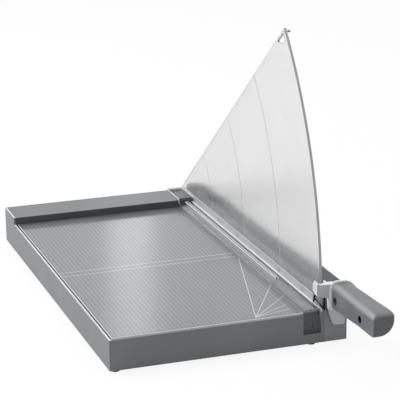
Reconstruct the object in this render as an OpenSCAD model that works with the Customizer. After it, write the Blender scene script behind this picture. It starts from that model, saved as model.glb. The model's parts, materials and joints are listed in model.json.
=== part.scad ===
// Office arm cutter for A3 sheets: base tray with printed bed, clear clamp strip,
// sail-shaped guard and a blade arm that turns on a bolt at the back.
// Inside the modules, the origin is the base's front left bottom corner.

/* [Base] */
// Width of the base, blade side included
base_w = 282.7; // [274:0.1:300]
// Depth of the base, front to back
base_d = 501; // [490:1:520]
// Height of the front wall and of the bed
base_h = 36; // [34:0.5:40]
// Height of the raised rail above the bed's face
rail_rise = 9; // [8:0.5:14]
// Depth of the raised rail
rail_d = 51.6; // [50:0.2:56]
// Wall thickness of the tray
wall_t = 2.5; // [2:0.1:4]
// Thickness of the front wall
front_t = 5; // [4:0.1:6]
// Thickness of the bed floor
floor_t = 2; // [1.5:0.1:3]
// Width of the part right of the cutting edge
side_w = 27.5; // [26:0.1:30]
// Radius of the base's upright corners
corner_r = 1; // [0.5:0.5:4]
// Height of the rubber feet
foot_h = 3; // [2:0.5:5]
// Diameter of the rubber feet
foot_d = 11; // [8:0.5:14]
// Inset of the feet from the sides
foot_inset = 8.6; // [8:0.2:14]

/* [Bed] */
// Thickness of the bed plate and of the plain strip beside it
bed_t = 4; // [3:0.25:5]
// Width of the groove between the left wall and the bed plate
groove_w = 2.3; // [1:0.1:4]
// Width of the plain strip between the printed bed plate and the lower knife
strip_w = 16.4; // [15:0.1:40]
// Thickness of the lower knife bar
knife_t = 6.2; // [5:0.2:8]
// Height of the lower knife bar's underside above the base's underside
knife_z = 12; // [11:0.5:16]

/* [Pivot] */
// Depth of the arm's pivot axis below the bed's face
pivot_drop = 0.5; // [-0.5:0.1:1]
// Distance of the pivot axis from the back of the base
pivot_back = 28; // [27:0.5:32]
// Diameter of the pivot bolt's shank
bolt_d = 10; // [8:0.5:11]
// Radius of the arm's hub
hub_r = 24; // [22:0.5:24]
// Thickness of the pivot bracket
bracket_t = 4.5; // [4:0.5:6]

/* [Arm] */
// Height of the arm at its front end
arm_h = 30.3; // [28:0.1:34]
// Gap between the arm's underside and the blade side of the base
arm_gap = 1.5; // [1:0.5:3]
// Width of the arm at its front end
arm_w = 22.5; // [20:0.5:24]
// Width of the arm at its hub
hub_w = 7.5; // [7:0.5:12]
// Wall thickness of the arm
arm_wall = 2.5; // [2:0.1:4]
// Thickness of the blade
blade_t = 2.5; // [2:0.1:3]
// How far the blade's ends reach below the bed
blade_dip = 5; // [4:0.5:8]
// How far the blade's middle bulges below the line between its ends
blade_bulge = 5; // [3:0.5:8]

/* [Handle] */
// Length of the grip
grip_l = 109; // [95:1:120]
// Width of the grip
grip_w = 27; // [25:0.5:30]
// Height of the grip at its root
grip_h = 27; // [25:0.5:30]
// Gap between the front of the base and the grip's root
grip_root = 7; // [6.5:0.5:9]
// Distance between the two grip screws
grip_pitch = 63; // [50:1:70]

/* [Guard] */
// Distance of the guard's edge behind the front of the base, at the pivot's level
guard_back = 7; // [6:0.5:13]
// Slope of the guard's upper edge
upper_angle = 37.7; // [35:0.1:38.5]
// Height of the guard's upper edge above the pivot, square to that edge
upper_off = 27.2; // [25:0.2:34]
// Thickness of the guard sheet
guard_t = 3; // [2:0.1:3]
// Gap for paper under the guard's foot
paper_gap = 1.5; // [1:0.1:1.8]
// Width of the grooves along the guard's inner arcs
arc_w = 0.8; // [0.6:0.1:1.2]

/* [Clamp strip] */
// Width of the clamp strip
clamp_w = 20; // [16:0.5:21]
// Thickness of the clamp strip
clamp_t = 2; // [1.6:0.1:3]
// Lift of the clamp strip above the bed at rest
clamp_lift = 3.3; // [3.2:0.1:4]
// Height of the front hook
hook_h = 26; // [22:0.5:27]

/* [Fits] */
// Running gap between round pieces, on the radius
fit = 0.05; // [0.02:0.01:0.1]
// Gap between pieces that move past each other
gap = 0.3; // [0.2:0.05:0.5]

/* [Hidden] */
$fn = 64;

// Extra length of a cut, so that it clears the face it starts from
eps = 1;
// The cutting plane, and the planes of the pieces stacked to its left and right
cut_x = base_w - side_w;
knife_x = cut_x - knife_t;
tray_wall_x = knife_x - wall_t;
blade_x = cut_x + gap;
arm_x = blade_x + blade_t;
guard_x = cut_x - 0.2 - guard_t;
bracket_x = tray_wall_x - bracket_t;
hub_right = arm_x + hub_w;
bed_right = knife_x - strip_w - 2 * gap;
// Levels
floor_z = base_h - bed_t;
rail_h = base_h + rail_rise;
pivot_z = base_h - pivot_drop;
arm_under = base_h + arm_gap;
arm_top = arm_under + arm_h;
cover_t = 1.2;
cover_z = 0.6;
rail_sheet = 1.5;
// Front edges of the bed pieces, and the front and back faces of the rail
bed_y = front_t + 2;
rail_y = base_d - rail_d;
back_y = base_d - wall_t;
pivot_y = base_d - pivot_back;
guard_r = pivot_y - guard_back;
// The clamp strip
clamp_right = guard_x - 2.4;
clamp_x = clamp_right - clamp_w;
clamp_z = base_h + clamp_lift;
clamp_rail_z = rail_h + 0.6;
hinge_y = back_y - 7.4;
hinge_z = rail_h - 4.4;
hinge_pin_d = 3;
knuckle_r = 3.2;
hook_t = 3;
hook_z = clamp_z + clamp_t - hook_h;
catch_top = hook_z + 9;
pocket_x = clamp_x - 0.6;
pocket_right = clamp_right + 1;
pocket_d = front_t + 1.5;
pocket_z = hook_z - clamp_lift - 0.6;
// The guard's foot
ledge_z = base_h + paper_gap;
ledge_h = 3.1;
ledge_top = ledge_z + ledge_h;
cheek_t = 0.8;
cheek_h = 8.9;
cheek_top = ledge_top + cheek_h;
foot_x = clamp_right + 0.6;
rail_right = guard_x - gap;
// The guard's root tab, which hangs beside the tray at the pivot
tab_y0 = pivot_y - 18;
tab_y1 = pivot_y + 22;
tab_z = pivot_z - 19;
tab_screw_y = [pivot_y - 12, pivot_y + 17];
tab_screw_z = pivot_z - 14;
tab_screw_d = 5;
// The grip
grip_x = arm_x + 3;
grip_back = -grip_root;
grip_front = grip_back - grip_l;
grip_screw_y = [grip_back - 12, grip_back - 12 - grip_pitch];
grip_under = arm_under + 7.5;
grip_top = grip_under + grip_h;
tang_z = arm_under + 10.7;
tang_h = 14;
tang_t = 8;
tang_x = grip_x + 8;
tang_end = 40;
// The object's right reach, over the collar at the grip's root, and its front reach set its origin
collar_t = 1.3;
right_reach = grip_x + grip_w + collar_t;
centre_x = right_reach / 2;
centre_y = (base_d + grip_front) / 2;

// Places what is drawn from the base's front left corner into the object's frame,
// whose origin is the middle of the space it fills, at the feet's underside
module in_frame() {
    translate([-centre_x, -centre_y, foot_h]) children();
}

// A box from its lowest to its highest corner
module block(low, high) {
    translate(low) cube([high[0] - low[0], high[1] - low[1], high[2] - low[2]]);
}

// A cylinder along X, from x0 to x1, about the line at y, z
module bar_x(x0, x1, y, z, d) {
    translate([x0, y, z]) rotate([0, 90, 0]) cylinder(d = d, h = x1 - x0);
}

// A cylinder along Y, from y0 to y1, about the line at x, z
module bar_y(y0, y1, x, z, d) {
    translate([x, y1, z]) rotate([90, 0, 0]) cylinder(d = d, h = y1 - y0);
}

// An outline drawn as seen from the left side (y, z), made thick from x0 to x1
module side_plate(x0, x1) {
    translate([x0, 0, 0]) rotate([90, 0, 90]) linear_extrude(x1 - x0) children();
}

// An outline drawn as seen from the front (x, z), made thick from y0 to y1
module front_plate(y0, y1) {
    translate([0, y1, 0]) rotate([90, 0, 0]) linear_extrude(y1 - y0) children();
}

// Screws up from below: shank and round head, standing at z with the head underneath
module screw_up(d, head_d, head_h, l) {
    cylinder(d = head_d, h = head_h);
    cylinder(d = d, h = head_h + l);
}

// Screw along +X: its head starts at the origin
module screw_right(d, head_d, head_h, l) {
    rotate([0, 90, 0]) screw_up(d, head_d, head_h, l);
}

// Left side of the bay round the pivot, where the floor is open
pivot_bay_x = bracket_x - 22;
// Places of the cover's screws and of their bosses
cover_screw_xs = [30, pivot_bay_x - 14];
cover_screw_ys = [26, base_d * 0.36, base_d * 0.64, back_y - 14];
cover_screw_places = [for (x = cover_screw_xs, y = cover_screw_ys) [x, y]];
boss_d = 9;
cover_screw_d = 3.5;
// Places of the feet
foot_places = [for (x = [foot_inset, tray_wall_x - 5], y = [foot_inset, base_d - foot_inset]) [x, y]];
foot_screw_d = 3;
// Ribs under the floor
rib_t = 2;
rib_h = 7;
rib_z = floor_z - floor_t - rib_h;
floor_mid = floor_z - floor_t / 2;
rib_ys = [for (i = [1 : 5]) front_t + i * (rail_y - front_t) / 6];
foot_block_h = 12;

// Plan of the tray, with its two left corners rounded
module tray_outline() {
    difference() {
        square([cut_x, base_d]);
        difference() {
            translate([-eps, -eps]) square(corner_r + eps);
            translate([corner_r, corner_r]) circle(corner_r);
        }
        difference() {
            translate([-eps, base_d - corner_r]) square(corner_r + eps);
            translate([corner_r, base_d - corner_r]) circle(corner_r);
        }
    }
}

// Tray: walls, bed floor, raised back end, pocket for the clamp hook, rebate for the lower knife
module base_tray() {
    color("#8d9194") in_frame() difference() {
        union() {
            difference() {
                linear_extrude(rail_h) tray_outline();
                // Bed recess, cut down to the floor
                block([wall_t, front_t, floor_z], [knife_x, back_y, rail_h + eps]);
                block([-eps, -eps, base_h], [cut_x + eps, rail_y, rail_h + eps]);
                // Rebate for the lower knife
                block([knife_x, bed_y, knife_z], [cut_x + eps, rail_y, rail_h + eps]);
                // Space under the floor
                block([wall_t, front_t, -eps], [tray_wall_x, back_y, floor_z - floor_t]);
                // Opening in the floor for the pivot and the clamp strip's hinge
                block([pivot_bay_x, rail_y + 2, -eps], [tray_wall_x, back_y, rail_h + eps]);
                block([tray_wall_x - eps, rail_y, base_h], [cut_x + eps, back_y, rail_h + eps]);
                // Recess beside the tray for the guard's root tab
                block([rail_right, tab_y0 - gap, tab_z - gap], [cut_x + eps, tab_y1 + gap, rail_h + eps]);
                block([rail_right, rail_y, base_h], [cut_x + eps, base_d + eps, rail_h + eps]);
            }
            // Lining of the hook pocket
            block([pocket_x - 2, front_t, pocket_z - 2], [tray_wall_x, pocket_d + 2, floor_z]);
            // Ribs under the floor, which reach half way into it
            for (y = rib_ys)
                block([wall_t - 1, y - rib_t / 2, rib_z], [tray_wall_x + 1, y + rib_t / 2, floor_mid]);
            for (x = [tray_wall_x * 0.3, tray_wall_x * 0.7])
                block([x - rib_t / 2, front_t - 1, rib_z], [x + rib_t / 2, rail_y, floor_mid]);
            // Bosses of the cover screws
            for (p = cover_screw_places)
                translate([p[0], p[1], cover_z + cover_t])
                    cylinder(d = boss_d, h = floor_mid - cover_z - cover_t);
            // Foot blocks in the corners
            for (p = foot_places)
                translate([p[0], p[1], 0]) cylinder(d = foot_d + 3, h = foot_block_h);
        }
        // Hook pocket, open at the front and the top
        // with a lip that the hook's catch comes up under
        difference() {
            block([pocket_x, -eps, pocket_z], [pocket_right, pocket_d, rail_h]);
            block([clamp_x + 12, pocket_d - 1.4, catch_top + 0.4],
                [clamp_x + 16, pocket_d + eps, catch_top + 3]);
        }
        // Screw holes
        for (p = cover_screw_places)
            translate([p[0], p[1], -eps]) cylinder(d = cover_screw_d + 2 * fit, h = 16);
        for (p = foot_places)
            translate([p[0], p[1], -eps]) cylinder(d = foot_screw_d + 2 * fit, h = 9);
        for (x = rail_screw_xs)
            translate([x, rail_screw_y, floor_z - floor_t - eps]) cylinder(d = rail_screw_d + 2 * fit, h = 4);
        for (y = knife_screw_ys)
            bar_x(tray_wall_x - eps, knife_x + eps, y, knife_screw_z, knife_screw_d + 2 * fit);
        for (y = channel_screw_ys)
            bar_x(tray_wall_x - eps, cut_x + eps, y, channel_screw_z, channel_screw_d + 2 * fit);
        for (y = tab_screw_y)
            bar_x(tray_wall_x - eps, cut_x + eps, y, tab_screw_z, tab_screw_d + 2 * fit);
        bar_x(tray_wall_x - eps, cut_x + eps, pivot_y, pivot_z, bolt_d + 2);
    }
}

// Right part of the base: open channel with the blade slot, webs and the hub recess
slot_w = arm_x - cut_x + 0.6;
channel_screw_ys = [for (i = [1 : 4]) rail_y * i / 5];
channel_screw_z = 6;
channel_screw_d = 4;
channel_screw_in = 12;
web_t = 8;
web_top = 12;
hub_space = 1.5;
module side_channel() {
    color("#9ea1a3") in_frame() difference() {
        union() {
            difference() {
                block([cut_x, 0, 0], [base_w, base_d, base_h]);
                // Inside, and the blade slot along the cutting plane
                block([cut_x - eps, front_t, 2], [base_w - wall_t, base_d - wall_t / 2, base_h - 3]);
                block([cut_x - eps, front_t, 2], [cut_x + slot_w, base_d - wall_t / 2, base_h + eps]);
                // Hub recess at the back
                block([cut_x - eps, pivot_y - hub_r - hub_space, 2],
                    [base_w - wall_t, base_d - wall_t / 2, base_h + eps]);
            }
            // Webs that take the joining screws
            for (y = channel_screw_ys)
                block([cut_x, y - web_t / 2, 0], [base_w - wall_t / 2, y + web_t / 2, web_top]);
        }
        // Its two right corners rounded
        for (y = [corner_r, base_d - corner_r]) difference() {
            block([base_w - corner_r, (y > base_d / 2 ? y : -eps), -eps],
                [base_w + eps, (y > base_d / 2 ? base_d + eps : y), base_h + eps]);
            bar_z(base_w - corner_r, y, -2 * eps, base_h + 2 * eps, 2 * corner_r);
        }
        for (y = channel_screw_ys)
            bar_x(cut_x - eps, cut_x + channel_screw_in + 2, y, channel_screw_z, channel_screw_d + 2 * fit);
        // Screw hole of the arm's bumper
        translate([bumper_x, bumper_y, base_h - 6]) cylinder(d = 4 + 2 * fit, h = 8);
    }
}

module channel_screws() {
    color("#3c3f42") in_frame() for (y = channel_screw_ys)
        translate([tray_wall_x - 3, y, channel_screw_z])
            screw_right(channel_screw_d, 7, 3, cut_x + channel_screw_in - tray_wall_x);
}

// Rubber buffer that the lowered arm comes down on, pushed into the blade side of the base
bumper_in = 14;
bumper_x = arm_x + bumper_in;
bumper_y = 18;
module arm_bumper() {
    color("#1d1e20") in_frame() translate([bumper_x, bumper_y, 0]) {
        translate([0, 0, base_h]) cylinder(d = 9, h = arm_gap - gap);
        translate([0, 0, base_h - 4]) cylinder(d = 4, h = 4 + arm_gap - gap);
    }
}

// Cap across the back: top sheet, front face, left lug and right end wall for the hinge pin
lug_x = clamp_x - 4;
cap_gap = 0.2;
module rear_rail() {
    color("#9a9d9f") in_frame() difference() {
        union() {
            block([wall_t + cap_gap, rail_y, rail_h - rail_sheet], [rail_right, back_y - cap_gap, rail_h]);
            block([wall_t + cap_gap, rail_y, floor_z], [tray_wall_x - cap_gap, rail_y + rail_sheet, rail_h]);
            block([tray_wall_x - cap_gap, rail_y, base_h + cap_gap],
                [rail_right, rail_y + rail_sheet, rail_h]);
            // Left lug of the hinge pin
            block([lug_x, hinge_y - 5, hinge_z - 5], [lug_x + 3, hinge_y + 5, rail_h]);
            // Right end wall
            block([rail_right - 2, rail_y, base_h + cap_gap], [rail_right, back_y - cap_gap, rail_h]);
            // Posts of the rail screws
            for (x = rail_screw_xs)
                translate([x, rail_screw_y, floor_z]) cylinder(d = 8, h = rail_h - floor_z);
        }
        // Slot that the clamp strip's knuckle hangs through
        block([clamp_x + 0.6, hinge_y - knuckle_r - 1, rail_h - rail_sheet - eps],
            [foot_x - 2.4, hinge_y + knuckle_r + 1, rail_h + eps]);
        bar_x(lug_x - eps, rail_right - 2 + 1.6, hinge_y, hinge_z, hinge_pin_d + 2 * fit);
        // Room for the pivot bolt's head under the top sheet
        bar_x(rail_right - 2 - eps, rail_right + eps, pivot_y, pivot_z, bolt_d + 6);
        for (x = rail_screw_xs)
            translate([x, rail_screw_y, floor_z - eps]) cylinder(d = rail_screw_d + 2 * fit, h = 9);
    }
}

// The rail's screws come up through the floor
rail_screw_xs = [for (k = [0.16, 0.5, 0.82]) k * tray_wall_x];
rail_screw_y = rail_y + rail_d * 0.4;
rail_screw_d = 4;
module rail_screws() {
    color("#3c3f42") in_frame() for (x = rail_screw_xs)
        translate([x, rail_screw_y, floor_z - floor_t - 3]) screw_up(rail_screw_d, 7, 3, floor_t + 7);
}

// Three steel channels under the ribs of the floor
member_w = 24;
member_h = 12;
member_t = 2;
member_top = rib_z;
module cross_members() {
    color("#a4a7a9") in_frame() for (i = [0 : 2]) translate([0, rail_y * (i + 0.5) / 3, 0]) difference() {
        block([wall_t, -member_w / 2, member_top - member_h], [tray_wall_x, member_w / 2, member_top]);
        block([0, member_t - member_w / 2, 0], [base_w, member_w / 2 - member_t, member_top - member_t]);
    }
}

// Printed bed plate with a small chamfer along its top edges
edge_c = 0.8;
module bed_slab(x0, x1) {
    hull() {
        block([x0, bed_y, floor_z], [x1, rail_y - gap, base_h - edge_c]);
        block([x0 + edge_c, bed_y + edge_c, floor_z], [x1 - edge_c, rail_y - gap, base_h]);
    }
}
module bed_plate() {
    color("#a9adb0") in_frame() bed_slab(wall_t + groove_w, bed_right);
}
module edge_strip() {
    color("#9b9fa2") in_frame() difference() {
        bed_slab(bed_right + gap, knife_x - gap);
        block([pocket_x, -eps, floor_z - eps], [pocket_right, pocket_d + 0.5, base_h + eps]);
    }
}

// Lower knife: steel bar with tapped holes, and its screws from inside the tray
knife_screw_d = 5;
knife_screw_z = knife_z + 6;
knife_screw_end = 24;
knife_screw_ys = [for (i = [0 : 3]) bed_y + knife_screw_end + i * (rail_y - bed_y - 2 * knife_screw_end) / 3];
module lower_knife() {
    color("#b9bcbf") in_frame() difference() {
        block([knife_x, bed_y, knife_z], [cut_x, rail_y - gap, base_h]);
        for (y = knife_screw_ys)
            bar_x(knife_x - eps, knife_x + knife_t - 1.2, y, knife_screw_z, knife_screw_d + 2 * fit);
    }
}
module knife_screws() {
    color("#3c3f42") in_frame() for (y = knife_screw_ys)
        translate([tray_wall_x - 4, y, knife_screw_z])
            screw_right(knife_screw_d, 8.5, 4, wall_t + knife_t - 2);
}

// Sheet cover under the tray, its screws, the feet and theirs
module bottom_cover() {
    color("#77797b") in_frame() difference() {
        block([wall_t + gap, front_t + gap, cover_z], [tray_wall_x - gap, back_y - gap, cover_z + cover_t]);
        for (p = cover_screw_places)
            translate([p[0], p[1], -eps]) cylinder(d = cover_screw_d + 2 * fit, h = 5);
        for (p = foot_places)
            translate([p[0], p[1], -eps]) cylinder(d = foot_d + 6, h = 5);
        // Clearance under the hook pocket
        block([pocket_x - 3, 0, -eps], [tray_wall_x, front_t + 6, 5]);
    }
}
module bottom_screws() {
    color("#3c3f42") in_frame() for (p = cover_screw_places)
        translate([p[0], p[1], cover_z - 2]) screw_up(cover_screw_d, 6.5, 2, 12);
}
module rubber_feet() {
    color("#1d1e20") in_frame() for (p = foot_places) translate([p[0], p[1], -foot_h]) difference() {
        rotate_extrude() polygon([[0, 0], [foot_d / 2 - 0.8, 0], [foot_d / 2, 0.8],
            [foot_d / 2, foot_h], [0, foot_h]]);
        translate([0, 0, -eps]) cylinder(d = 6.4, h = foot_h / 2 + eps);
        translate([0, 0, -eps]) cylinder(d = foot_screw_d + 2 * fit, h = foot_h + 2 * eps);
    }
}
module foot_screws() {
    color("#3c3f42") in_frame() for (p = foot_places)
        translate([p[0], p[1], -foot_h / 2 - 1]) screw_up(foot_screw_d, 5.6, 1, foot_h / 2 + 7);
}

// Pivot: bracket inside the tray, bolt, thrust washer, disc springs and nut
bolt_head_h = 5;
bolt_head_d = 14.6;
washer_t = arm_x - cut_x - 0.1;
spring_h = 1.6;
nut_x = hub_right + 0.2 + 2 * spring_h;
nut_h = 6.5;
bracket_y0 = pivot_y - 20;
bracket_y1 = pivot_y + 11;
bracket_z = cover_z + cover_t;
module pivot_bracket() {
    color("#8f9396") in_frame() difference() {
        union() {
            block([bracket_x, bracket_y0, bracket_z], [tray_wall_x, bracket_y1, rail_h - rail_sheet - 0.5]);
            // Foot flange on the cover
            block([bracket_x - 20, bracket_y0, bracket_z],
                [bracket_x, bracket_y0 + 16, bracket_z + bracket_t]);
            // Two gussets between plate and flange
            for (y = [bracket_y0, bracket_y0 + 13])
                front_plate(y, y + 3)
                    polygon([[bracket_x, bracket_z + bracket_t],
                        [bracket_x - 14, bracket_z + bracket_t], [bracket_x, 24]]);
        }
        bar_x(bracket_x - eps, tray_wall_x + eps, pivot_y, pivot_z, bolt_d + 2 * fit);
        bar_x(bracket_x - eps, tray_wall_x + eps, tab_screw_y[0], tab_screw_z, tab_screw_d + 2 * fit);
    }
}
module bracket_screws() {
    color("#3c3f42") in_frame() for (y = tab_screw_y) {
        start_x = y > pivot_y ? tray_wall_x : bracket_x;
        translate([start_x - 4, y, tab_screw_z])
            screw_right(tab_screw_d, 8.5, 4, guard_x + guard_t - 0.4 - start_x);
    }
}
module pivot_bolt() {
    color("#aeb2b5") in_frame() union() {
        bar_x(bracket_x - bolt_head_h, bracket_x, pivot_y, pivot_z, bolt_head_d, $fn = 6);
        bar_x(bracket_x - eps, nut_x + nut_h + 2, pivot_y, pivot_z, bolt_d);
    }
}
module pivot_nut() {
    color("#8e9295") in_frame() difference() {
        translate([nut_x, pivot_y, pivot_z]) rotate([0, 90, 0]) intersection() {
            cylinder(d = 18, h = nut_h, $fn = 6);
            rotate_extrude() polygon([[0, 0], [9.2, 0], [9.2, nut_h - 1.4], [7.6, nut_h], [0, nut_h]]);
        }
        bar_x(nut_x - eps, nut_x + nut_h + eps, pivot_y, pivot_z, bolt_d + 2 * fit);
    }
}
// A disc spring is a shallow cone with a hole
spring_out_r = 9.5;
module disc_spring() {
    rotate_extrude() polygon([[bolt_d / 2 + fit, 0.7], [spring_out_r, 0], [spring_out_r, 0.8],
        [bolt_d / 2 + fit, spring_h - 0.1]]);
}
module disc_springs() {
    color("#9a9ea1") in_frame() translate([hub_right + 0.2, pivot_y, pivot_z]) rotate([0, 90, 0]) {
        disc_spring();
        translate([0, 0, 2 * spring_h]) mirror([0, 0, 1]) disc_spring();
    }
}
module thrust_washer() {
    color("#b28a4a") in_frame() difference() {
        bar_x(cut_x + 0.05, cut_x + 0.05 + washer_t, pivot_y, pivot_z, 26);
        bar_x(cut_x - eps, cut_x + washer_t + eps, pivot_y, pivot_z, bolt_d + 2 * fit);
    }
}

// Guard: clear sheet whose outer edge is an arc about the pivot
// Height of the straight upper edge at a given y, seen from the side
function upper_z(y) = pivot_z + upper_off / cos(upper_angle) + (pivot_y - y) * tan(upper_angle);
// The apex, where that edge meets the arc, and a place given by its distance back along the edge and below it
edge_l = sqrt(guard_r * guard_r - upper_off * upper_off);
function by_apex(back, below) = [
    pivot_y + (upper_off - below) * sin(upper_angle) - (edge_l - back) * cos(upper_angle),
    pivot_z + (upper_off - below) * cos(upper_angle) + (edge_l - back) * sin(upper_angle)];
guard_end = base_d - 0.5;
module guard_outline() {
    intersection() {
        translate([pivot_y, pivot_z]) circle(guard_r, $fn = 360);
        polygon([[0, ledge_top], [0, upper_z(0)], [guard_end, upper_z(guard_end)], [guard_end, rail_h],
            [tab_y1, rail_h], [tab_y1, tab_z], [tab_y0, tab_z], [tab_y0, ledge_top]]);
    }
}
// Triangular hole near the apex, with round corners
hole_pts = [by_apex(6, 4.4), by_apex(26, 3.8), by_apex(7.6, 13.9)];
hole_r = 1.2;
// Inner arcs, as fractions of the guard's radius
arc_rs = [for (k = [0.219, 0.475, 0.736]) k * guard_r];
arc_depth = 0.4;
module guard_sail() {
    color([0.85, 0.88, 0.9, 0.45]) in_frame() difference() {
        side_plate(guard_x, guard_x + guard_t) guard_outline();
        side_plate(guard_x - eps, guard_x + guard_t + eps) hull()
            for (p = hole_pts) translate(p) circle(hole_r, $fn = 24);
        for (r = arc_rs) difference() {
            bar_x(guard_x - eps, guard_x + arc_depth, pivot_y, pivot_z, 2 * r + arc_w, $fn = 240);
            bar_x(guard_x - 2 * eps, guard_x + 2 * eps, pivot_y, pivot_z, 2 * r - arc_w, $fn = 240);
        }
        bar_x(guard_x + guard_t - peg_seat, guard_x + guard_t + eps, peg_place[0], peg_place[1],
            peg_d + 2 * fit);
        for (y = tab_screw_y)
            bar_x(guard_x - eps, guard_x + guard_t + eps, y, tab_screw_z, tab_screw_d + 2 * fit);
        bar_x(guard_x - eps, guard_x + guard_t + eps, pivot_y, pivot_z, bolt_d + 1);
        for (y = rivet_ys)
            bar_x(guard_x - eps, guard_x + guard_t + eps, y, rivet_z, rivet_d + 2 * fit);
    }
}
// Foot: ledge under the sheet and thin cheek on its left, with a rest at the front and a strip on the rail
cheek_y = 26;
module guard_foot() {
    color([0.9, 0.92, 0.94, 0.5]) in_frame() difference() {
        union() {
            block([foot_x, cheek_y, ledge_z], [guard_x + guard_t, rail_y - gap, ledge_top]);
            block([guard_x, 0.6, ledge_z], [guard_x + guard_t, cheek_y, ledge_top]);
            block([guard_x - cheek_t, cheek_y, ledge_top - eps], [guard_x, rail_y - gap, cheek_top]);
            block([guard_x, 0.6, base_h], [guard_x + guard_t, front_t - 0.4, ledge_top]);
            // Strip on the rail
            block([foot_x, rail_y + gap, rail_h], [guard_x, base_d - 1, rail_h + 2]);
            block([guard_x - cheek_t, rail_y - gap - eps, rail_h], [guard_x, base_d - 1, cheek_top]);
        }
        for (y = rivet_ys)
            bar_x(foot_x - eps, guard_x + guard_t + eps, y, rivet_z, rivet_d + 2 * fit);
    }
}
rivet_d = 2;
rivet_z = ledge_top + 4;
rivet_y0 = 60;
rivet_y1 = rail_y - 30;
rivet_ys = [for (i = [0 : 5]) rivet_y0 + i * (rivet_y1 - rivet_y0) / 5];
module guard_rivets() {
    color("#d0d3d5") in_frame() for (y = rivet_ys) {
        bar_x(guard_x - cheek_t - 0.4, guard_x + guard_t, y, rivet_z, rivet_d);
        bar_x(guard_x - cheek_t - 0.4, guard_x - cheek_t, y, rivet_z, 4);
    }
}
// Stop peg beside the apex, on the arm's side of the sheet: thin neck pressed in, head that the arm meets
peg_place = by_apex(3.2, 3);
peg_d = 1.6;
peg_seat = 1.5;
peg_head_d = 2.6;
peg_head_x = arm_x - 0.4;
peg_head_l = 2.4;
module apex_stop() {
    color("#4a4d50") in_frame() union() {
        bar_x(guard_x + guard_t - peg_seat, peg_head_x + eps, peg_place[0], peg_place[1], peg_d);
        bar_x(peg_head_x, peg_head_x + peg_head_l, peg_place[0], peg_place[1], peg_head_d);
    }
}

// Arm: beam that tapers in plan, with round top edges, bays open underneath and a hub at the back
// Widths of the arm in plan, as pairs of distance from the front of the base and width
arm_front = -2;
arm_plan = [[arm_front, arm_w], [pivot_y * 0.16, arm_w], [pivot_y * 0.275, arm_w - 4.2],
    [pivot_y * 0.42, arm_w - 7.4], [pivot_y * 0.7, arm_w - 8.6],
    [pivot_y - hub_r - 2, hub_w + 3], [pivot_y - 11, hub_w]];
arm_r = 2.5;
// Front view of the arm at one width: two round top edges, going over from left to right
function arm_section(w) = concat([[arm_x, arm_under]],
    [for (a = [0 : 22.5 : 90]) [arm_x + arm_r - arm_r * cos(a), arm_top - arm_r + arm_r * sin(a)]],
    [for (a = [0 : 22.5 : 90]) [arm_x + w - arm_r + arm_r * sin(a), arm_top - arm_r + arm_r * cos(a)]],
    [[arm_x + w, arm_under]]);
// Beam drawn through the sections that the plan gives, down to the underside
module arm_loft() {
    plan = concat(arm_plan, [[base_d, hub_w]]);
    n = len(arm_section(arm_w));
    polyhedron([for (p = plan, q = arm_section(p[1])) [q[0], p[0], q[1]]],
        concat([[for (j = [0 : n - 1]) j]],
            [for (i = [0 : len(plan) - 2], j = [0 : n - 1]) let (k = (j + 1) % n)
                [i * n + j, (i + 1) * n + j, (i + 1) * n + k, i * n + k]],
            [[for (j = [n - 1 : -1 : 0]) (len(plan) - 1) * n + j]]));
}
// Side view of the arm: beam, and the neck that runs down over the hub
module arm_side() {
    neck_y = pivot_y - hub_r - 6;
    polygon([[arm_front, arm_under], [arm_front, arm_top], [neck_y, arm_top],
        [pivot_y + 4, pivot_z + hub_r - 0.4], [pivot_y, pivot_z], [neck_y, arm_under]]);
}
module arm_beam() {
    color("#808488") in_frame() difference() {
        union() {
            intersection() {
                side_plate(arm_x - eps, arm_x + arm_w + eps) arm_side();
                arm_loft();
            }
            bar_x(arm_x, hub_right, pivot_y, pivot_z, 2 * hub_r);
        }
        // Bays between the blade's screws, open underneath
        for (i = [0 : len(blade_screw_ys) - 2]) {
            y0 = max(blade_screw_ys[i] + 6, tang_end + 6);
            y1 = blade_screw_ys[i + 1] - 6;
            translate([0, 0, arm_under - eps]) linear_extrude(arm_top - arm_wall - arm_under + eps)
                polygon([[arm_x + arm_wall, y0], [arm_x + lookup(y0, arm_plan) - arm_wall, y0],
                    [arm_x + lookup(y1, arm_plan) - arm_wall, y1], [arm_x + arm_wall, y1]]);
        }
        // Slot for the tang
        block([tang_x, -4, tang_z], [tang_x + tang_t, tang_end + 2, tang_z + tang_h]);
        for (y = tang_screw_ys)
            bar_x(tang_x - 4, arm_x + arm_w + eps, y, tang_z + tang_h / 2, tang_screw_d + 2 * fit);
        for (y = blade_screw_ys)
            bar_x(arm_x - eps, arm_x + 7, y, blade_screw_z, blade_screw_d + 2 * fit);
        for (p = shoe_screw_places)
            bar_y(-4, 10, p[0], p[1], shoe_screw_d + 2 * fit);
        bar_x(arm_x - eps, hub_right + eps, pivot_y, pivot_z, bush_d + 2 * fit);
    }
}
bush_d = bolt_d + 4;
module pivot_bush() {
    color("#b28a4a") in_frame() difference() {
        bar_x(arm_x + 0.2, hub_right - 0.2, pivot_y, pivot_z, bush_d);
        bar_x(arm_x - eps, hub_right + eps, pivot_y, pivot_z, bolt_d + 2 * fit);
    }
}

// Blade: flat towards the lower knife, bevelled on its right, with a convex edge
blade_y0 = 12;
blade_to_pivot = 34;
blade_y1 = pivot_y - blade_to_pivot;
blade_rise = 22;
blade_top = arm_under + blade_rise;
bevel_h = 3;
blade_screw_d = 5;
blade_screw_rise = 14;
blade_screw_z = arm_under + blade_screw_rise;
blade_screw_end = 16;
blade_screw_pitch = (blade_y1 - blade_y0 - 2 * blade_screw_end) / 5;
blade_screw_ys = [for (i = [0 : 5]) blade_y0 + blade_screw_end + i * blade_screw_pitch];
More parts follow.
